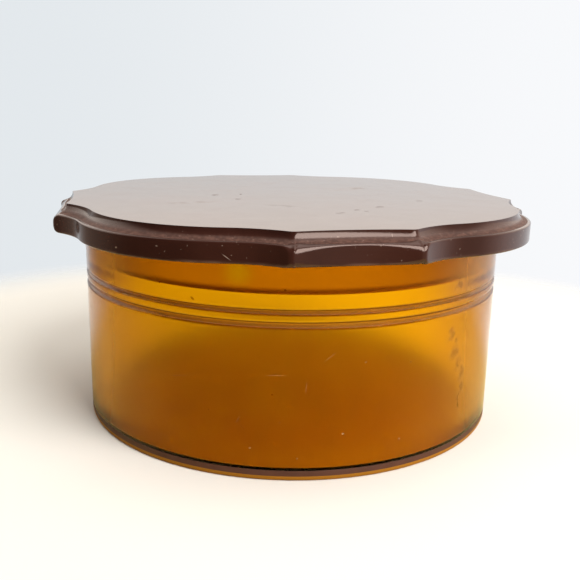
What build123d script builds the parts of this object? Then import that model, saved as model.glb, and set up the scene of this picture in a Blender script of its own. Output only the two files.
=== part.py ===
from build123d import *
import os
from math import cos, radians, sin

# Powder jar: a round turned jar with a cemented base, closed by a loose scalloped lid whose
# locating ring drops into the jar's bore. Millimetres, +Z up, origin at the centre of the base.

os.makedirs("parts", exist_ok=True)

# jar
jar_r = 50.0
bore_r = 44.8
base_t = 1.2
rim_z = 44.95
rim_round = 0.5
# two turned grooves below the rim: centre height and width of each, one depth
grooves = [(34.95, 1.3), (32.4, 1.6)]
groove_d = 0.6
# dark film of cement between the wall's foot and the base, just short of both faces of the wall
film_t = 0.2
film_inset = 0.1
foot_z = base_t + film_t

# lid ring
ring_z = 37.4
ring_gap = 0.3
ring_t = 3.0
ring_r = bore_r - ring_gap
ring_chamfer = 0.5

# lid plate: four hollow facets with crisp corners, and four ogee lobes between them
lid_z = rim_z
face_h = 4.1
cove_h = 2.1
cove_d = 2.75
ledge = 0.6
shoulder_round = 0.45
under_round = 0.35
facet_half = 12.7
facet_r = 55.1
corner_r = 57.6
lobe_half = 20.0
lobe_r = 57.7
lobe_end_r = 55.4
shoulder_z = lid_z + face_h
top_z = shoulder_z + cove_h


def at(radius, degrees):
    return (radius * cos(radians(degrees)), radius * sin(radians(degrees)))


# Turned wall: bore, rounded rim and the two grooves.
with BuildPart() as jar_wall:
    with BuildSketch(Plane.XZ):
        with BuildLine():
            edge = Polyline((jar_r, foot_z), (bore_r, foot_z), (bore_r, rim_z - rim_round))
            inner = RadiusArc(edge @ 1, (bore_r + rim_round, rim_z), rim_round)
            land = Line(inner @ 1, (jar_r - rim_round, rim_z))
            outer = RadiusArc(land @ 1, (jar_r, rim_z - rim_round), rim_round)
            low = outer @ 1
            for height, width in grooves:
                upper = Line(low, (jar_r, height + width / 2))
                hollow = ThreePointArc(
                    upper @ 1, (jar_r - groove_d, height), (jar_r, height - width / 2)
                )
                low = hollow @ 1
            Line(low, edge @ 0)
        make_face()
    revolve(axis=Axis.Z)
jar_wall.part.label = "jar_wall"

# Flat disc that closes the jar.
with BuildPart() as base_disc:
    Cylinder(jar_r, base_t, align=(Align.CENTER, Align.CENTER, Align.MIN))
    fillet(base_disc.edges().sort_by(Axis.Z)[0], 0.5)
base_disc.part.label = "base_disc"

# Film of cement that holds the wall to the disc.
with BuildPart() as base_cement:
    with BuildSketch(Plane.XY.offset(base_t)):
        Circle(jar_r - film_inset)
        Circle(bore_r + film_inset, mode=Mode.SUBTRACT)
    extrude(amount=film_t)
base_cement.part.label = "base_cement"

# Ring under the lid that drops into the bore.
with BuildPart() as lid_ring:
    with BuildSketch(Plane.XY.offset(ring_z)):
        Circle(ring_r)
        Circle(ring_r - ring_t, mode=Mode.SUBTRACT)
    extrude(amount=lid_z - ring_z)
    chamfer(lid_ring.edges().group_by(Axis.Z)[0], ring_chamfer)
lid_ring.part.label = "lid_ring"

def facet_line(turn):
    # a hollow facet's edge between its two corners
    ThreePointArc(at(corner_r, turn - facet_half), at(facet_r, turn), at(corner_r, turn + facet_half))


def lobe_line(turn):
    # a lobe's edge from corner to corner: a round nose with a hollow arc on either side
    nose = ThreePointArc(
        at(lobe_end_r, turn - lobe_half), at(lobe_r, turn), at(lobe_end_r, turn + lobe_half)
    )
    TangentArc(nose @ 0, at(corner_r, turn - 45 + facet_half), tangent=(nose % 0) * -1)
    TangentArc(nose @ 1, at(corner_r, turn + 45 - facet_half), tangent=nose % 1)


# Lid plate: the scalloped outline extruded, then the cove cut along each facet and each lobe.
with BuildPart() as lid_plate:
    with BuildSketch(Plane.XY.offset(lid_z)):
        with BuildLine():
            for quarter in (0, 90, 180, 270):
                facet_line(quarter)
                lobe_line(quarter + 45)
        make_face()
    extrude(amount=top_z - lid_z)
    for quarter in (0, 90, 180, 270):
        for draw, turn in ((facet_line, quarter), (lobe_line, quarter + 45)):
            with BuildLine(Plane.XY.offset(shoulder_z)) as rail:
                draw(turn)
            edge = rail.wire()
            # across the edge: x runs inwards, y up
            inwards = (edge % 0).cross(Vector(0, 0, 1)) * -1
            with BuildSketch(Plane(edge @ 0, x_dir=inwards, z_dir=edge % 0)) as waste:
                with BuildLine():
                    flat = Line((-cove_d, 0), (ledge, 0))
                    cove = TangentArc(flat @ 1, (cove_d, cove_h), tangent=(1, 0))
                    Polyline(cove @ 1, (cove_d, 2 * cove_h), (-cove_d, 2 * cove_h), flat @ 0)
                make_face()
            sweep(waste.sketch, path=edge, mode=Mode.SUBTRACT)
    # soften the rim's upper and lower edges all round
    sides = lid_plate.faces().filter_by(GeomType.PLANE, reverse=True).filter_by_position(
        Axis.Z, lid_z, shoulder_z
    )
    shoulder = sides.edges().filter_by_position(Axis.Z, shoulder_z, shoulder_z)
    foot = sides.edges().filter_by_position(Axis.Z, lid_z, lid_z)
    fillet(shoulder, shoulder_round)
    chamfer(foot, under_round)
lid_plate.part.label = "lid_plate"

for piece in (jar_wall, base_disc, base_cement, lid_ring, lid_plate):
    export_step(piece.part, f"parts/{piece.part.label}.step")
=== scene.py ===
import math

import bpy
import numpy as np
from mathutils import Matrix, Vector


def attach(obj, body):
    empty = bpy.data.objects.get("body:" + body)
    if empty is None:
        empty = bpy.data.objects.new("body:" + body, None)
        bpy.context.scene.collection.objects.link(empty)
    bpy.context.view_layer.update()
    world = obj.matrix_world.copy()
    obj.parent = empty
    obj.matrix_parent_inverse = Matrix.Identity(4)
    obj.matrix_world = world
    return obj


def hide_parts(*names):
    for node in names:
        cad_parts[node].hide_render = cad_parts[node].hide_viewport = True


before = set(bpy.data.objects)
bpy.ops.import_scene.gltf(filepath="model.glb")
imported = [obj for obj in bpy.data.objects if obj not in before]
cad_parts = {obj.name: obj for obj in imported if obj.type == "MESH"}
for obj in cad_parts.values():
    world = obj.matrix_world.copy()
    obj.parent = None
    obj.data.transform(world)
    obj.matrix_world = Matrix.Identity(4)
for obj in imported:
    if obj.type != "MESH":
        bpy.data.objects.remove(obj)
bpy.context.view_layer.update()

MM = 0.001

# ---------------------------------------------------------------- sizes, as in the CAD (mm)
JAR_R, BORE_R, BASE_T, RIM_Z = 50.0, 44.8, 1.2, 44.95
GROOVES = [(34.95, 1.3), (32.4, 1.6)]
GROOVE_D = 0.6
FILM_T, FILM_INSET = 0.2, 0.1
FOOT_Z = BASE_T + FILM_T
RIM_ROUND = 0.5
FOOT_EASE = 0.9
DISC_EASE, DISC_ROUND = 0.35, 0.5
# the bead of cement: how far it sinks into the plastic, how far inside the eased corners it starts,
# its outside face, and that face's lower and upper ends
BEAD_SINK, BEAD_START, BEAD_R = 0.03, 0.5, JAR_R - 0.01
BEAD_LOW, BEAD_HIGH = BASE_T - 0.20, FOOT_Z + 0.75
RING_Z, RING_R, RING_T, RING_EASE = 37.4, 44.5, 3.0, 0.2
LID_Z, FACE_H, COVE_H, COVE_D, LEDGE = 44.95, 4.1, 2.1, 2.75, 0.6
RING_TOP = LID_Z - 0.02  # a hair below the lid's underside
FACET_HALF, FACET_R, CORNER_R = 12.7, 55.1, 57.6
LOBE_HALF, LOBE_R, LOBE_END_R = 20.0, 57.7, 55.4
CORNER_EASE = 0.9
# how the lid's edges are worn round: everywhere, and this much more at a crisp corner
SHOULDER_ROUND, SHOULDER_WORN = 0.35, 1.55
UNDER_ROUND, UNDER_WORN = 0.3, 1.1
SHOULDER_Z = LID_Z + FACE_H
TOP_Z = SHOULDER_Z + COVE_H

# ---------------------------------------------------------------- camera
# the picture's camera: a 46.3 mm lens, 14 degrees down, a slight roll. Its place is in radii of the
# jar from the middle of the base.
CAM_TURN = math.radians(-12.73)
LENS_MM, SENSOR_MM, SHIFT_X = 46.29103448, 36.0, -0.0024137931
PITCH, YAW, ROLL = 0.24411, 0.000546, 0.02023
cam_pos = Vector((0.0034, -3.7072, 1.4616)) * JAR_R * MM
forward = Vector(
    (math.sin(YAW) * math.cos(PITCH), math.cos(YAW) * math.cos(PITCH), -math.sin(PITCH))
)
level_right = Vector((math.cos(YAW), -math.sin(YAW), 0.0))
level_up = level_right.cross(forward)
right = math.cos(ROLL) * level_right + math.sin(ROLL) * level_up
up = -math.sin(ROLL) * level_right + math.cos(ROLL) * level_up
turn = Matrix.Rotation(CAM_TURN, 4, "Z")
cam_data = bpy.data.cameras.new("camera")
cam_data.sensor_width = SENSOR_MM
cam_data.lens = LENS_MM
cam_data.shift_x = SHIFT_X
cam_data.clip_start = 0.005
cam_data.clip_end = 20.0
camera = bpy.data.objects.new("camera", cam_data)
bpy.context.scene.collection.objects.link(camera)
basis = Matrix((right, up, -forward)).transposed().to_4x4()
camera.matrix_world = turn @ Matrix.Translation(cam_pos) @ basis
bpy.context.scene.camera = camera


# ---------------------------------------------------------------- mesh helpers
def new_mesh(name, verts, faces, sharp_deg=35.0):
    mesh = bpy.data.meshes.new(name)
    mesh.from_pydata([tuple(c * MM for c in v) for v in verts], [], faces)
    mesh.validate()
    mesh.update()
    for p in mesh.polygons:
        p.use_smooth = True
    mesh.set_sharp_from_angle(angle=math.radians(sharp_deg))
    obj = bpy.data.objects.new(name, mesh)
    bpy.context.scene.collection.objects.link(obj)
    return obj


def lathe(name, profile, steps=384):
    """A closed (r, z) profile, anticlockwise when r runs right and z up, turned about Z."""
    n = len(profile)
    verts, faces = [], []
    on_axis = {i for i, (r, z) in enumerate(profile) if r < 1e-9}
    index = {}
    for i, (r, z) in enumerate(profile):
        if i in on_axis:
            index[(i, 0)] = len(verts)
            verts.append((0.0, 0.0, z))
        else:
            for k in range(steps):
                a = 2 * math.pi * k / steps
                index[(i, k)] = len(verts)
                verts.append((r * math.cos(a), r * math.sin(a), z))

    def v(i, k):
        return index[(i, 0)] if i in on_axis else index[(i, k % steps)]

    for i in range(n):
        j = (i + 1) % n
        if i in on_axis and j in on_axis:
            continue
        for k in range(steps):
            # at the axis two corners are one point, and the face is a triangle
            quad = [v(i, k), v(i, k + 1), v(j, k + 1), v(j, k)]
            faces.append(list(dict.fromkeys(quad)))
    return new_mesh(name, verts, faces)


def arc(cx, cy, r, a0, a1, n):
    """Points on an arc, ends included, angles in degrees."""
    return [
        (cx + r * math.cos(math.radians(a0 + (a1 - a0) * i / n)),
         cy + r * math.sin(math.radians(a0 + (a1 - a0) * i / n)))
        for i in range(n + 1)
    ]


def groove_points(height, width, depth, n=14):
    """The outline of one turned groove going up the wall, with softened lips."""
    pts = []
    reach, hollow = 1.25, 1.1  # in half widths: how far the outline runs, and how far the hollow does
    for i in range(n + 1):
        t = -reach + 2 * reach * i / n
        d = depth * 0.5 * (1 + math.cos(math.pi * max(-1.0, min(1.0, t / hollow))))
        pts.append((JAR_R - d, height + t * width / 2))
    return pts


# ---------------------------------------------------------------- the jar
def wall_profile():
    r = RIM_ROUND
    pts = [(BORE_R, FOOT_Z)] + arc(JAR_R - FOOT_EASE, FOOT_Z + FOOT_EASE, FOOT_EASE, -90, 0, 5)
    for height, width in sorted(GROOVES):
        pts += groove_points(height, width, GROOVE_D)
    pts += arc(JAR_R - r, RIM_Z - r, r, 0, 90, 6)
    pts += arc(BORE_R + r, RIM_Z - r, r, 90, 180, 6)
    return pts


jar_wall = lathe("amber_jar_wall", wall_profile())
base_disc = lathe(
    "amber_base_disc",
    [(0, 0.0)] + arc(JAR_R - DISC_ROUND, DISC_ROUND, DISC_ROUND, -90, 0, 6)
    + arc(JAR_R - DISC_EASE, BASE_T - DISC_EASE, DISC_EASE, 0, 90, 5) + [(0, BASE_T)],
)
# the cement film, with the bead that fills the crease it was squeezed into: it follows both eased
# corners, sunk into them by a hair so that no air gap shows between the glue and the plastic
base_cement = lathe(
    "dark_base_cement",
    [(BORE_R + FILM_INSET, BASE_T), (JAR_R - DISC_EASE - BEAD_START, BASE_T)]
    + arc(JAR_R - DISC_EASE, BASE_T - DISC_EASE, DISC_EASE - BEAD_SINK, 90, 20, 4)
    + [(BEAD_R, BEAD_LOW), (BEAD_R, BEAD_HIGH)]
    + arc(JAR_R - FOOT_EASE, FOOT_Z + FOOT_EASE, FOOT_EASE - BEAD_SINK, -3, -90, 8)
    + [(JAR_R - FOOT_EASE - BEAD_START, FOOT_Z), (BORE_R + FILM_INSET, FOOT_Z)],
)
lid_ring = lathe(
    "amber_lid_ring",
    [(RING_R - RING_T, RING_TOP), (RING_R - RING_T, RING_Z + RING_EASE)]
    + arc(RING_R - RING_T + RING_EASE, RING_Z + RING_EASE, RING_EASE, 180, 270, 5)[1:]
    + arc(RING_R - RING_EASE, RING_Z + RING_EASE, RING_EASE, -90, 0, 5)
    + [(RING_R, RING_TOP)],
)


# ---------------------------------------------------------------- the lid's outline
def polar(r, deg):
    return np.array([r * math.cos(math.radians(deg)), r * math.sin(math.radians(deg))])


def rotated(p, deg):
    c, s = math.cos(math.radians(deg)), math.sin(math.radians(deg))
    return np.array([p[0] * c - p[1] * s, p[0] * s + p[1] * c])


def lid_outline(inset, ease):
    """The scalloped outline moved inwards by inset, its corners eased over that length."""
    # facet: a hollow arc about a centre outside, on +X
    corner = polar(CORNER_R, FACET_HALF)
    sag = corner[0] - FACET_R
    facet_rad = (corner[1] ** 2 + sag ** 2) / (2 * sag)
    facet_c = np.array([FACET_R + facet_rad, 0.0])
    # lobe, in its own frame about +X: a round nose, a hollow arc either side
    end = polar(LOBE_END_R, LOBE_HALF)
    sag = LOBE_R - end[0]
    nose_rad = (end[1] ** 2 + sag ** 2) / (2 * sag)
    nose_c = np.array([LOBE_R - nose_rad, 0.0])
    nose_half = math.degrees(math.atan2(end[1], end[0] - nose_c[0]))
    tangent = rotated((end - nose_c) / nose_rad, 90)
    chord = polar(CORNER_R, 45 - FACET_HALF) - end
    turn_half = math.atan2(tangent[0] * chord[1] - tangent[1] * chord[0], tangent @ chord)
    hollow_rad = np.hypot(*chord) / (2 * math.sin(abs(turn_half)))
    hollow_c = end + rotated(tangent, -90) * hollow_rad
    # where the moved facet and the moved hollow meet, in the facet's frame
    other_c = rotated(np.array([hollow_c[0], -hollow_c[1]]), 45)
    r1, r2 = facet_rad + inset, hollow_rad + inset
    gap = other_c - facet_c
    dist = np.hypot(*gap)
    along = (dist ** 2 + r1 ** 2 - r2 ** 2) / (2 * dist)
    across = math.sqrt(max(r1 ** 2 - along ** 2, 0.0))
    unit = gap / dist
    options = [facet_c + unit * along + s * across * np.array([-unit[1], unit[0]]) for s in (1, -1)]
    meet = min(options, key=lambda q: np.hypot(*(q - corner)))
    # pieces in order, each trimmed by the easing length next to a corner
    facet_half = math.atan2(meet[1], facet_c[0] - meet[0])
    trim = ease / r1
    n_facet, n_hollow, n_nose, n_ease = 36, 22, 44, 6
    facet = [
        facet_c + r1 * np.array([-math.cos(a), math.sin(a)])
        for a in np.linspace(-(facet_half - trim), facet_half - trim, n_facet + 1)
    ]
    meet_lobe = rotated(meet, -45)
    meet_lobe = np.array([meet_lobe[0], -meet_lobe[1]])  # the same corner at the lobe's far side
    a_end = math.atan2(*(end - hollow_c)[::-1])
    a_meet = math.atan2(*(meet_lobe - hollow_c)[::-1])
    if a_meet - a_end > math.pi:
        a_meet -= 2 * math.pi
    if a_end - a_meet > math.pi:
        a_meet += 2 * math.pi
    a_stop = a_meet + math.copysign(ease / r2, a_end - a_meet)
    hollow = [
        hollow_c + r2 * np.array([math.cos(a), math.sin(a)])
        for a in np.linspace(a_end, a_stop, n_hollow + 1)
    ]
    nose = [
        nose_c + (nose_rad - inset) * np.array([math.cos(a), math.sin(a)])
        for a in np.radians(np.linspace(-nose_half, nose_half, n_nose + 1))
    ]
    lobe = [np.array([p[0], -p[1]]) for p in hollow[::-1]] + nose[1:-1] + hollow
    lobe = [rotated(p, 45) for p in lobe]

    def eased(p, k, q):
        ts = [i / n_ease for i in range(1, n_ease)]
        return [(1 - t) ** 2 * p + 2 * t * (1 - t) * k + t * t * q for t in ts]

    next_meet = rotated(np.array([meet[0], -meet[1]]), 90)
    next_facet = rotated(facet[0], 90)
    quarter = facet + eased(facet[-1], meet, lobe[0]) + lobe + eased(lobe[-1], next_meet, next_facet)
    return [rotated(p, q) for q in (0, 90, 180, 270) for p in quarter]


def corner_nearness(points):
    """For each outline point, how near a crisp corner it is: 1 at the corner on the facet's side of
    it, at_corner on the lobe's side, and falling to 0 away from it."""
    facet_power, at_corner, fade = 2.2, 0.75, 0.9  # fade is in mm along the outline
    count = len(points) // 4
    quarter = []
    for k in range(count):
        turn_deg = math.degrees(math.atan2(points[k][1], points[k][0]))
        if abs(turn_deg) <= FACET_HALF:
            quarter.append(abs(turn_deg / FACET_HALF) ** facet_power)
        else:
            past_deg = min(abs(turn_deg - FACET_HALF), abs(90 - FACET_HALF - turn_deg))
            past = past_deg * math.radians(CORNER_R)
            quarter.append(at_corner * math.exp(-(past / fade) ** 2))
    return np.array(quarter * 4)


def cove_height(inset):
    """How far the cove has risen above the shoulder, that far in from the edge."""
    s = np.clip((inset - LEDGE) / (COVE_D - LEDGE), 0.0, 1.0)
    return COVE_H * (1 - np.sqrt(1 - s * s))


def build_lid():
    """Loops of points from the underside up the face, over the shoulder and up the cove to the top."""
    insets = np.linspace(0.0, COVE_D + 0.25, 13)
    under_flat, top_flat = 0.8, 0.1  # narrow flat borders inside the outline, below and on top
    outlines = np.array([lid_outline(d, CORNER_EASE) for d in insets])
    count = outlines.shape[1]
    near = corner_nearness(outlines[0])
    shoulder_r = SHOULDER_ROUND + SHOULDER_WORN * near
    foot_r = UNDER_ROUND + UNDER_WORN * near ** 1.5

    def ring(inset, height, depth):
        """One loop of points: inset, height and depth up the cove may differ round the outline."""
        inset = np.broadcast_to(inset, (count,))
        at = inset / insets[1]
        low = np.clip(at.astype(int), 0, len(insets) - 2)
        part = (at - low)[:, None]
        k = np.arange(count)
        plan = outlines[low, k] * (1 - part) + outlines[low + 1, k] * part
        return plan, np.broadcast_to(height, (count,)), np.broadcast_to(depth, (count,))

    loops = [ring(foot_r + under_flat, LID_Z, 0.0)]
    for a in np.radians(np.linspace(0, 90, 6)):
        loops.append(ring(foot_r * (1 - math.sin(a)), LID_Z + foot_r * (1 - math.cos(a)), 0.0))
    for t in np.linspace(0, 1, 6)[1:-1]:
        loops.append(ring(0.0, (LID_Z + foot_r) * (1 - t) + (SHOULDER_Z - shoulder_r) * t, 0.0))
    for a in np.radians(np.linspace(0, 90, 9)):
        inset = shoulder_r * (1 - math.cos(a))
        loops.append(ring(inset, SHOULDER_Z - shoulder_r * (1 - math.sin(a)) + cove_height(inset), 0.0))
    start = np.arcsin(np.clip((shoulder_r - LEDGE) / (COVE_D - LEDGE), 0, 1))
    for t in np.linspace(0, 1, 15):
        a = start * (1 - t) + math.pi / 2 * t
        inset = np.maximum(LEDGE + (COVE_D - LEDGE) * np.sin(a), shoulder_r + 0.01)
        loops.append(ring(inset, SHOULDER_Z + COVE_H * (1 - np.cos(a)), np.sin(a)))
    loops.append(ring(COVE_D + top_flat, TOP_Z, 1.0))

    verts, faces, cove = [], [], []
    for plan, height, depth in loops:
        verts += [(p[0], p[1], min(z, TOP_Z)) for p, z in zip(plan, height)]
        cove += list(depth)
    for i in range(len(loops) - 1):
        for k in range(count):
            a, b = i * count + k, i * count + (k + 1) % count
            faces.append([a, b, b + count, a + count])
    top = (len(loops) - 1) * count
    faces.append([top + k for k in range(count)])
    faces.append(list(range(count - 1, -1, -1)))
    obj = new_mesh("dark_lid_plate", verts, faces)
    attr = obj.data.attributes.new("cove", "FLOAT", "POINT")
    attr.data.foreach_set("value", np.array(cove, np.float32))
    return obj


lid_plate = build_lid()


# ---------------------------------------------------------------- node helpers
class Nodes:
    """A short way to write a node tree: each call makes a node and returns its output."""

    def __init__(self, tree):
        self.tree = tree

    def new(self, kind, **settings):
        node = self.tree.nodes.new(kind)
        for key, value in settings.items():
            setattr(node, key, value)
        return node

    def feed(self, socket, value):
        if isinstance(value, bpy.types.NodeSocket):
            self.tree.links.new(value, socket)
        elif value is not None:
            socket.default_value = value

    def math(self, operation, a, b=None):
        node = self.new("ShaderNodeMath", operation=operation)
        for socket, value in zip(node.inputs, (a, b)):
            self.feed(socket, value)
        return node.outputs[0]

    def vector(self, operation, a, b=None):
        node = self.new("ShaderNodeVectorMath", operation=operation)
        for socket, value in zip(node.inputs, (a, b)):
            self.feed(socket, value)
        return node.outputs["Value" if operation in ("LENGTH", "DOT_PRODUCT") else "Vector"]

    def times(self, a, b):
        """a times b: what two masks share, or one mask made weaker."""
        return self.math("MULTIPLY", a, b)

    def raised(self, value, mask, amount):
        """value + mask * amount."""
        return self.math("ADD", value, self.times(mask, amount))

    def lowered(self, value, mask, amount):
        """value - mask * amount."""
        return self.math("SUBTRACT", value, self.times(mask, amount))

    def ramp(self, value, low, high, to_low=0.0, to_high=1.0):
        """A smooth step from to_low at low to to_high at high, which may be the smaller."""
        node = self.new("ShaderNodeMapRange", interpolation_type="SMOOTHSTEP")
        for name, v in (("Value", value), ("From Min", low), ("From Max", high),
                        ("To Min", to_low), ("To Max", to_high)):
            self.feed(node.inputs[name], v)
        return node.outputs["Result"]

    def mix(self, factor, a, b):
        node = self.new("ShaderNodeMix", data_type="RGBA")
        for socket, value in ((node.inputs[0], factor), (node.inputs[6], a), (node.inputs[7], b)):
            self.feed(socket, (*value, 1.0) if isinstance(value, tuple) and len(value) == 3 else value)
        return node.outputs[2]

    def noise(self, place, scale, detail=3.0, rough=0.5, stretch=None):
        if stretch:
            place = self.vector("MULTIPLY", place, stretch)
        node = self.new("ShaderNodeTexNoise")
        for name, v in (("Vector", place), ("Scale", scale), ("Detail", detail), ("Roughness", rough)):
            self.feed(node.inputs[name], v)
        return node.outputs["Fac"]

    def specks(self, place, scale, size):
        """Sparse small dots: 1 at a dot's middle, 0 between dots."""
        node = self.new("ShaderNodeTexVoronoi")
        self.feed(node.inputs["Vector"], place)
        node.inputs["Scale"].default_value = scale
        return self.ramp(node.outputs["Distance"], size, size * 0.45)

    def wobble(self, place, scale):
        node = self.new("ShaderNodeTexNoise")
        self.feed(node.inputs["Vector"], place)
        node.inputs["Scale"].default_value = scale
        return self.vector("SUBTRACT", node.outputs["Color"], (0.5, 0.5, 0.5))

    def marks(self, place, centres, softness=0.6):
        """Soft ellipses in a plane: (x, y, half length, half width, tilt in degrees) each."""
        total = None
        for x, y, length, width, tilt in centres:
            node = self.new("ShaderNodeMapping", vector_type="TEXTURE")
            self.feed(node.inputs["Vector"], place)
            node.inputs["Location"].default_value = (x, y, 0.0)
            node.inputs["Rotation"].default_value = (0.0, 0.0, math.radians(tilt))
            node.inputs["Scale"].default_value = (length, width, 1.0)
            one = self.ramp(self.vector("LENGTH", node.outputs[0]), 1.0, 1.0 - softness)
            total = one if total is None else self.math("MAXIMUM", total, one)
        return total

    def unrolled(self, place):
        """The jar's side laid flat, in mm: x along the wall from the middle of its front, y up."""
        xyz = self.xyz(self.vector("MULTIPLY", place, (1 / MM, 1 / MM, 1 / MM)))
        x, y = self.turned(xyz["X"], xyz["Y"])
        along = self.times(self.math("ARCTAN2", x, self.times(y, -1.0)), JAR_R)
        node = self.new("ShaderNodeCombineXYZ")
        self.feed(node.inputs[0], along)
        self.feed(node.inputs[1], xyz["Z"])
        return node.outputs[0]

    def turned(self, x, y):
        """x and y as seen in the picture, with its camera's side of the jar towards -y."""
        c, s = math.cos(CAM_TURN), math.sin(CAM_TURN)
        return self.raised(self.times(x, c), y, s), self.lowered(self.times(y, c), x, s)

    def from_axis(self, place):
        """Distance from the jar's axis."""
        return self.vector("LENGTH", self.vector("MULTIPLY", place, (1.0, 1.0, 0.0)))

    def object_place(self):
        return self.new("ShaderNodeTexCoord").outputs["Object"]

    def xyz(self, place):
        node = self.new("ShaderNodeSeparateXYZ")
        self.feed(node.inputs[0], place)
        return node.outputs


def material(name):
    mat = bpy.data.materials.new(name)
    mat.use_nodes = True
    mat.node_tree.nodes.clear()
    n = Nodes(mat.node_tree)
    shader = n.new("ShaderNodeBsdfPrincipled")
    out = n.new("ShaderNodeOutputMaterial")
    n.tree.links.new(shader.outputs["BSDF"], out.inputs["Surface"])
    return mat, n, shader, out


def absorb(n, out, per_metre):
    """Colour that deepens with the thickness of plastic looked through."""
    density = max(per_metre)
    node = n.new("ShaderNodeVolumeAbsorption")
    node.inputs["Density"].default_value = density
    node.inputs["Color"].default_value = (*[1.0 - a / density for a in per_metre], 1.0)
    n.tree.links.new(node.outputs["Volume"], out.inputs["Volume"])


# ---------------------------------------------------------------- amber plastic
# marks on the jar's side, laid flat: (along, up, half length, half width) in mm and a tilt
STAIN = [
    (36.9, 27.4, 2.2, 1.5, 70), (39.3, 25.8, 1.6, 1.1, 20), (38.8, 23.4, 2.6, 2.1, 60),
    (40.3, 20.4, 2.3, 1.8, 100), (41.9, 17.6, 2.2, 1.6, 90), (42.4, 14.5, 2.2, 0.9, 95),
    (41.9, 11.6, 2.0, 0.6, 100), (38.8, 37.6, 1.6, 1.5, 0),
]
DARK_SPECKS = [
    (-19.3, 36.4, 0.7, 0.3, -35), (-0.9, 39.3, 0.35, 0.25, 0), (-3.1, 18.3, 0.25, 0.2, 0),
    (-27.0, 38.6, 0.3, 0.2, 20),
]
NICKS = [
    (11.1, 9.9, 0.28, 0.28, 0), (2.0, 4.9, 0.22, 0.22, 0), (-7.4, 6.8, 0.26, 0.2, 30),
    (15.3, 24.6, 0.2, 0.2, 0), (25.6, 23.4, 0.2, 0.2, 0), (-16.0, 14.0, 0.16, 0.16, 0),
    (-1.5, 12.6, 0.15, 0.15, 0),
]
SCRATCHES = [
    (-9.8, 12.8, 1.5, 0.06, 62), (-9.0, 11.2, 0.9, 0.05, -50), (-2.4, 22.3, 2.6, 0.06, 2),
    (3.5, 20.0, 1.8, 0.05, 84), (8.0, 26.0, 2.2, 0.05, 40), (-23.0, 20.0, 3.0, 0.05, 12),
]
RING_PATCH = [(-11.5, 41.0, 4.5, 3.5, 0.0)]
# the stretch of wall that holds both grooves, in mm up
GROOVES_LOW, GROOVES_HIGH = 30.0, 37.0

# tints colour the light at the surface; absorption is per metre of plastic, in red, green and blue
AMBER_SHINE = (0.10, 0.06, 0.0, 1.0)
WALL_TINT, WALL_ABSORB, WALL_HAZE = (1.0, 0.885, 0.60), (12.0, 62.0, 560.0), 0.002
BORE_DULL = 0.26
GROOVE_TONE = (0.56, 0.27, 0.035)
STAIN_TONE = (0.52, 0.37, 0.12)
SPECK_TONE = (0.22, 0.11, 0.05)
NICK_TONE = (0.98, 0.78, 0.52)
BASE_TINT, BASE_ABSORB, BASE_HAZE = (0.80, 0.420, 0.065), (6.0, 20.0, 80.0), 0.88
BASE_POLISH = 0.45
# painted light: the tone the disc's top takes near the wall
BASE_PAINTED_LIGHT = (0.95, 0.62, 0.090)
BASE_RIM_TONE = (0.40, 0.165, 0.02)
SCUFF_TONE = (0.92, 0.66, 0.30)
RING_TINT, RING_ABSORB, RING_HAZE = (0.62, 0.45, 0.22), (12.0, 62.0, 560.0), 0.03
RING_POLISH = 0.10
RING_EDGE_TONE = (0.80, 0.36, 0.05)
PATCH_TONE = (0.62, 0.68, 0.20)
CEMENT_INSIDE = (0.50, 0.25, 0.03)
GRIME = (0.075, 0.028, 0.019), (0.120, 0.046, 0.032)


def amber(name, tint, per_metre, haze, polish=0.04):
    """Amber with some haze in it. Also returns what feeds its sockets, for the caller to add to."""
    mat, n, shader, out = material(name)
    place = n.object_place()
    cloud = n.noise(place, 38.0, 3.0)
    tone = n.mix(n.ramp(cloud, 0.3, 0.7), tuple(0.98 * c for c in tint), tint)
    shader.inputs["Transmission Weight"].default_value = 1.0
    clear = n.ramp(cloud, 0.25, 0.75, 1.0 - haze * 1.1, 1.0 - haze * 0.9)
    shader.inputs["IOR"].default_value = 1.5
    shader.inputs["Specular Tint"].default_value = AMBER_SHINE
    rough = n.ramp(n.noise(place, 160.0, 2.0), 0.3, 0.7, polish * 0.7, polish * 1.4)
    absorb(n, out, per_metre)
    return mat, n, shader, place, {"Base Color": tone, "Transmission Weight": clear, "Roughness": rough}


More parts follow.
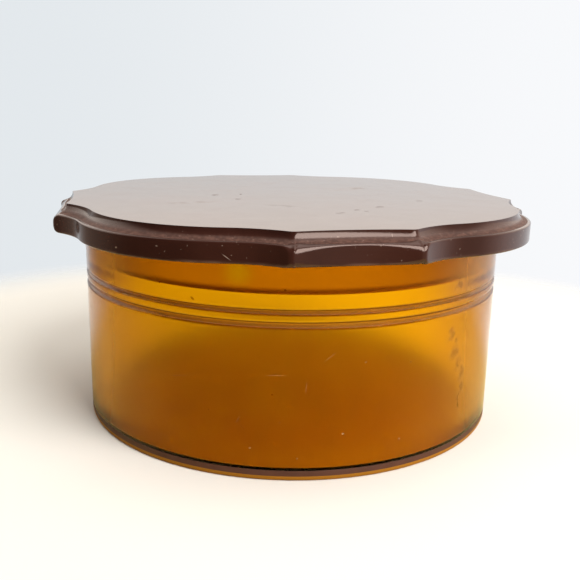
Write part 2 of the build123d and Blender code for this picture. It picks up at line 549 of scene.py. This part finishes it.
def amber_wall_material():
    """Clear amber with a dull bore and grooves, an old stain, specks, nicks and scratches."""
    mat, n, shader, place, made = amber("amber_wall", WALL_TINT, WALL_ABSORB, WALL_HAZE)
    colour, clear, rough = made["Base Color"], made["Transmission Weight"], made["Roughness"]
    from_axis = n.from_axis(place)
    height = n.xyz(place)["Z"]
    outside = n.ramp(from_axis, (JAR_R - 1.5) * MM, (JAR_R - 0.6) * MM)
    # the bore was left as it was turned, duller than the polished outside
    bore = n.ramp(from_axis, (JAR_R - 1.5) * MM, (BORE_R + 0.3) * MM)
    rough = n.raised(rough, bore, BORE_DULL)
    # and so are the two turned grooves
    groove = n.times(n.ramp(from_axis, (JAR_R - 0.12) * MM, (JAR_R - 0.32) * MM),
                     n.ramp(from_axis, (JAR_R - 1.2) * MM, (JAR_R - 0.8) * MM))
    groove = n.times(groove, n.ramp(height, GROOVES_LOW * MM, (GROOVES_LOW + 1.0) * MM))
    groove = n.times(groove, n.ramp(height, GROOVES_HIGH * MM, (GROOVES_HIGH - 0.8) * MM))
    colour = n.mix(groove, colour, GROOVE_TONE)
    clear = n.lowered(clear, groove, 0.28)
    # an old stain, broken up, and dark specks
    flat = n.unrolled(place)
    shaky = n.vector("ADD", flat, n.vector("MULTIPLY", n.wobble(place, 350.0), (4.0, 4.0, 0.0)))
    broken = n.ramp(n.noise(place, 420.0, 3.0), 0.25, 0.55, 0.35, 1.0)
    stain = n.times(n.times(n.marks(shaky, STAIN, 0.8), broken), outside)
    colour = n.mix(stain, colour, STAIN_TONE)
    colour = n.mix(n.times(n.marks(flat, DARK_SPECKS), outside), colour, SPECK_TONE)
    # pale nicks and hair scratches, which scatter light instead of letting it through
    nicks = n.math("MAXIMUM", n.marks(flat, NICKS, 0.8), n.times(n.marks(flat, SCRATCHES, 0.8), 0.7))
    dots = n.times(n.specks(place, 170.0, 0.055), n.ramp(n.noise(place, 55.0), 0.52, 0.62))
    nicks = n.times(n.math("MAXIMUM", nicks, n.times(dots, 0.5)), outside)
    made["Base Color"] = n.mix(nicks, colour, NICK_TONE)
    made["Transmission Weight"] = n.lowered(n.lowered(clear, nicks, 0.35), stain, 0.05)
    made["Roughness"] = n.raised(rough, stain, 0.20)
    return connect(mat, n, shader, made)


def amber_base_material():
    """The disc is duller than the wall, painted paler near its corner as light reaching the jar's floor,
    darker round its rim, scuffed beneath.
    """
    mat, n, shader, place, made = amber("amber_base", BASE_TINT, BASE_ABSORB, BASE_HAZE, BASE_POLISH)
    from_axis = n.from_axis(place)
    height = n.xyz(place)["Z"]
    # painted light: the disc's top is paler towards the wall, standing in for light that reaches the
    # jar's floor there
    pale = n.times(n.ramp(from_axis, 30.0 * MM, 43.0 * MM), n.ramp(height, 0.5 * MM, 1.0 * MM))
    scuffs = n.ramp(n.noise(place, 1.0, 4.0, 0.6, (2600.0, 140.0, 1.0)), 0.56, 0.70)
    scuffs = n.times(scuffs, n.ramp(height, 0.3 * MM, 0.1 * MM))
    tone = n.mix(pale, BASE_TINT, BASE_PAINTED_LIGHT)
    tone = n.mix(n.times(scuffs, 0.35), tone, SCUFF_TONE)
    made["Base Color"] = n.mix(n.ramp(from_axis, 47.0 * MM, 48.8 * MM), tone, BASE_RIM_TONE)
    made["Transmission Weight"] = 1.0 - BASE_HAZE
    return connect(mat, n, shader, made)


def amber_ring_material():
    """A little hazy, duller along its lower edge, with a greenish patch."""
    mat, n, shader, place, made = amber("amber_ring", RING_TINT, RING_ABSORB, RING_HAZE, RING_POLISH)
    edge = n.ramp(n.xyz(place)["Z"], (RING_Z + 1.0) * MM, (RING_Z + 0.2) * MM)
    colour = n.mix(edge, made["Base Color"], RING_EDGE_TONE)
    patch = n.marks(n.unrolled(place), RING_PATCH, 0.9)
    made["Base Color"] = n.mix(patch, colour, PATCH_TONE)
    made["Transmission Weight"] = n.lowered(made["Transmission Weight"], edge, 0.7)
    return connect(mat, n, shader, made)


def connect(mat, n, shader, made):
    for name, value in made.items():
        n.feed(shader.inputs[name], value)
    return mat


def cement_material():
    """Amber-brown film, dark with dirt where it reaches the outside."""
    mat, n, shader, _ = material("cement")
    place = n.object_place()
    dirty = n.ramp(n.from_axis(place), 49.4 * MM, 49.8 * MM)
    grime = n.mix(n.noise(place, 400.0), *GRIME)
    n.feed(shader.inputs["Base Color"], n.mix(dirty, CEMENT_INSIDE, grime))
    n.feed(shader.inputs["Roughness"], n.ramp(n.noise(place, 300.0), 0.3, 0.7, 0.35, 0.55))
    shader.inputs["Specular IOR Level"].default_value = 0.3
    return mat


# ---------------------------------------------------------------- dark lid
# the lid's own marks, in mm: on its face laid flat as the jar's side is, and on its top seen from above
FACE_MARKS = [
    (-10.5, 46.2, 1.2, 0.10, -40), (-30.4, 46.3, 0.35, 0.25, 20), (-22.0, 47.6, 0.3, 0.12, 0),
]
TOP_SPECKS = [
    (-19.0, 1.6, 1.5, 0.7, 20), (-14.6, -6.6, 0.9, 0.5, -10), (3.3, -31.2, 1.5, 0.4, 10),
    (15.1, -22.7, 1.4, 0.5, 15), (8.3, -27.0, 0.8, 0.4, 30), (28.3, -13.0, 1.1, 0.5, 0),
    (-12.5, 3.0, 0.7, 0.4, 60), (9.8, -29.0, 0.7, 0.3, 0),
]
TOP_SMUDGES = [
    (-6.0, -20.0, 7.0, 3.0, -40), (-26.0, -12.0, 9.0, 3.0, 15), (20.0, 14.0, 10.0, 4.0, 30),
]
LID_TONES = (0.036, 0.0112, 0.0076), (0.050, 0.0162, 0.0112)
LID_SHINE = (0.9, 0.72, 0.66, 1.0)
DUST_TONE = (0.19, 0.090, 0.064)
GRIT_TONE = (0.36, 0.24, 0.19)
# wear and a painted highlight on the lid's lowest edge
WEAR_AND_HIGHLIGHT_TONE = (0.16, 0.085, 0.065)
FLECK_TONE = (0.36, 0.27, 0.23)
CHIP_TONE = (0.40, 0.30, 0.26)


def lid_material():
    """Dark brown: dust in the cove, flecks, chips, wear and a painted highlight along the lower edge,
    and smudges on the top.
    """
    mat, n, shader, _ = material("dark_lid")
    place = n.object_place()
    depth = n.new("ShaderNodeAttribute", attribute_name="cove").outputs["Fac"]
    height = n.xyz(place)["Z"]
    colour = n.mix(n.ramp(n.noise(place, 60.0, 3.0), 0.35, 0.7), *LID_TONES)
    # dust lies low in the cove and thins out up it
    in_cove = n.times(n.ramp(depth, 0.01, 0.10), n.ramp(depth, 0.92, 0.45))
    dust = n.times(in_cove, n.ramp(n.noise(place, 1100.0, 4.0, 0.8), 0.42, 0.62, 0.15, 1.0))
    colour = n.mix(n.times(dust, 0.55), colour, DUST_TONE)
    grit = n.times(in_cove, n.specks(place, 1100.0, 0.22))
    colour = n.mix(n.times(grit, 0.45), colour, GRIT_TONE)
    # wear and a painted highlight: paler along the lowest edge of the face
    wear_and_highlight = n.times(n.ramp(height, (LID_Z + 0.75) * MM, (LID_Z + 0.30) * MM),
                   n.ramp(n.noise(place, 130.0, 3.0), 0.38, 0.62))
    colour = n.mix(n.times(wear_and_highlight, 0.5), colour, WEAR_AND_HIGHLIGHT_TONE)
    # fine flecks strewn unevenly over all but the flat top
    strewn = n.vector("ADD", place, n.vector("MULTIPLY", n.wobble(place, 150.0), (0.012, 0.012, 0.012)))
    flecks = n.times(n.specks(strewn, 800.0, 0.13), n.ramp(n.noise(place, 90.0, 2.0), 0.46, 0.60))
    flecks = n.times(flecks, n.ramp(height, (TOP_Z - 0.1) * MM, (TOP_Z - 0.5) * MM))
    colour = n.mix(n.times(flecks, 0.7), colour, FLECK_TONE)
    # chips and a scratch on the face
    on_face = n.ramp(height, (TOP_Z - 0.2) * MM, (TOP_Z - 0.6) * MM)
    chips = n.times(n.marks(n.unrolled(place), FACE_MARKS, 0.8), on_face)
    n.feed(shader.inputs["Base Color"], n.mix(n.times(chips, 0.85), colour, CHIP_TONE))
    # the polish is uneven, dull in the cove, and dulled by smudges and specks on the flat top
    in_mm = n.vector("MULTIPLY", place, (1 / MM, 1 / MM, 0.0))
    shaky = n.vector("ADD", in_mm, n.vector("MULTIPLY", n.wobble(place, 500.0), (1.2, 1.2, 0.0)))
    on_top = n.ramp(height, (TOP_Z - 0.4) * MM, (TOP_Z - 0.1) * MM)
    dull = n.times(n.marks(shaky, TOP_SPECKS, 0.7), on_top)
    smudge = n.times(n.marks(shaky, TOP_SMUDGES, 0.9), n.ramp(n.noise(place, 300.0, 4.0), 0.4, 0.6))
    rough = n.ramp(n.noise(place, 120.0, 4.0, 0.6), 0.25, 0.80, 0.13, 0.165)
    rough = n.raised(n.raised(rough, in_cove, 0.5), smudge, 0.10)
    n.feed(shader.inputs["Roughness"], n.raised(rough, dull, 0.60))
    shader.inputs["IOR"].default_value = 1.55
    shader.inputs["Specular Tint"].default_value = LID_SHINE
    bump = n.new("ShaderNodeBump")
    bump.inputs["Strength"].default_value = 0.08
    bump.inputs["Distance"].default_value = 0.2 * MM
    n.feed(bump.inputs["Height"], n.noise(place, 900.0, 4.0, 0.7))
    n.feed(shader.inputs["Normal"], bump.outputs["Normal"])
    return mat


for piece, mat, body, node, slot in (
    (jar_wall, amber_wall_material(), "jar", "jar_wall", "amber_wall"),
    (base_disc, amber_base_material(), "jar", "base_disc", "amber_base"),
    (base_cement, cement_material(), "jar", "base_cement", "cement"),
    (lid_ring, amber_ring_material(), "lid_ring_body", "lid_ring", "amber_ring"),
    (lid_plate, lid_material(), "lid", "lid_plate", "dark_lid"),
):
    piece.data.materials.append(mat)
    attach(piece, body)
    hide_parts(node)


# ---------------------------------------------------------------- floor
# in metres: where the table starts to fade out, where it has gone, and half the side of its square
TABLE_R, TABLE_END, TABLE_HALF = 0.135, 0.185, 0.4
TABLE_TONES = (0.885, 0.885, 0.840), (0.865, 0.865, 0.815)
# painted light: the table's tone just in front of the jar
TABLE_PAINTED_LIGHT = (1.0, 0.985, 0.93)
TABLE_IN_GLOSS = (0.60, 0.50, 0.17)


def floor_material():
    """A pale table top that fades out softly at its edge, with painted light in front of the jar; it is
    warmer in the jar's reflections.
    """
    mat, n, shader, out = material("floor")
    place = n.object_place()
    shader.inputs["Roughness"].default_value = 0.9
    shader.inputs["Specular IOR Level"].default_value = 0.2
    pale = n.mix(n.noise(place, 25.0, 2.0), *TABLE_TONES)
    seen_in_gloss = n.new("ShaderNodeLightPath").outputs["Is Reflection Ray"]
    xyz = n.xyz(place)
    seen_y = n.turned(xyz["X"], xyz["Y"])[1]
    beside = n.ramp(seen_y, 0.050, 0.005, 0.0, 0.85)
    # painted light: the table is brighter close in front of the jar, where the jar's shadow falls
    near_jar = n.ramp(n.vector("LENGTH", place), 0.095, 0.055)
    pale = n.mix(n.times(near_jar, n.ramp(seen_y, -0.020, -0.050)), pale, TABLE_PAINTED_LIGHT)
    n.feed(shader.inputs["Base Color"], n.mix(n.times(seen_in_gloss, beside), pale, TABLE_IN_GLOSS))
    clear = n.new("ShaderNodeBsdfTransparent")
    mix = n.new("ShaderNodeMixShader")
    n.feed(mix.inputs["Fac"], n.ramp(n.vector("LENGTH", place), TABLE_R, TABLE_END))
    n.tree.links.new(shader.outputs["BSDF"], mix.inputs[1])
    n.tree.links.new(clear.outputs["BSDF"], mix.inputs[2])
    n.tree.links.new(mix.outputs["Shader"], out.inputs["Surface"])
    return mat


floor_mesh = bpy.data.meshes.new("floor")
floor_corners = [(x * TABLE_HALF, y * TABLE_HALF, 0) for x, y in ((-1, -1), (1, -1), (1, 1), (-1, 1))]
floor_mesh.from_pydata(floor_corners, [], [(0, 1, 2, 3)])
floor = bpy.data.objects.new("floor", floor_mesh)
bpy.context.scene.collection.objects.link(floor)
floor.location.z = -0.05 * MM
floor_mesh.materials.append(floor_material())


# ---------------------------------------------------------------- studio light
BACK_LEFT, BACK_RIGHT = (0.77, 0.81, 0.84), (0.94, 0.95, 0.97)
SHADE_LEFT = (0.34, 0.25, 0.20)
SKY = (1.62, 1.45, 1.30)
SKY_TOP = (0.90, 0.82, 0.74)
ROOM = (0.055, 0.045, 0.040)
ROOM_RIGHT = (0.36, 0.34, 0.31)


def studio():
    """Bright pale paper behind and above the jar, a dim room on the camera's side.

    The ramps run over the parts of a unit vector, so -1 to 1, as seen from the picture's camera.
    """
    world = bpy.data.worlds.new("studio")
    bpy.context.scene.world = world
    world.use_nodes = True
    world.node_tree.nodes.clear()
    n = Nodes(world.node_tree)
    direction = n.new("ShaderNodeTexCoord").outputs["Generated"]
    away = n.vector("DOT_PRODUCT", direction, turn @ Vector((0, 1, 0)))
    sideways = n.vector("DOT_PRODUCT", direction, turn @ Vector((1, 0, 0)))
    height = n.xyz(direction)["Z"]
    plain = n.mix(n.ramp(sideways, -0.40, 0.40), BACK_LEFT, BACK_RIGHT)
    paper = n.mix(n.ramp(sideways, -0.85, -0.42), SHADE_LEFT, plain)
    paper = n.mix(n.ramp(height, 0.092, 0.175), paper, SKY)
    paper = n.mix(n.ramp(height, 0.50, 0.80), paper, SKY_TOP)
    room = n.mix(n.ramp(sideways, 0.30, 0.60), ROOM, ROOM_RIGHT)
    colour = n.mix(n.ramp(away, -0.35, 0.25), room, paper)
    # the camera itself sees plain pale paper all round
    seen = n.new("ShaderNodeLightPath").outputs["Is Camera Ray"]
    colour = n.mix(seen, colour, plain)
    background = n.new("ShaderNodeBackground")
    n.feed(background.inputs["Color"], colour)
    out = n.new("ShaderNodeOutputWorld")
    n.tree.links.new(background.outputs["Background"], out.inputs["Surface"])


def lamp(name, azimuth, elevation, distance, size, power, colour, tall=None):
    """A soft lamp aimed at the jar, in degrees, metres and watts. Azimuth is clockwise, seen from
    above, from straight behind the jar."""
    light = bpy.data.lights.new(name, "AREA")
    light.shape = "ELLIPSE" if tall else "DISK"
    light.size = size
    if tall:
        light.size_y = tall
    light.energy = power
    light.color = colour
    obj = bpy.data.objects.new(name, light)
    bpy.context.scene.collection.objects.link(obj)
    a, e = math.radians(azimuth), math.radians(elevation)
    place = turn @ Vector((math.sin(a) * math.cos(e), math.cos(a) * math.cos(e), math.sin(e))) * distance
    obj.location = place
    obj.rotation_euler = (-place).to_track_quat("-Z", "Y").to_euler()


studio()
lamp("ceiling", azimuth=60, elevation=80, distance=0.9, size=0.6, power=1.0, colour=(1.0, 0.98, 0.95))
lamp("window", azimuth=138, elevation=36, distance=1.0, size=0.58, power=12.5,
     colour=(1.0, 0.97, 0.93), tall=1.0)

scene = bpy.context.scene
scene.view_settings.view_transform = "Standard"
scene.view_settings.look = "None"
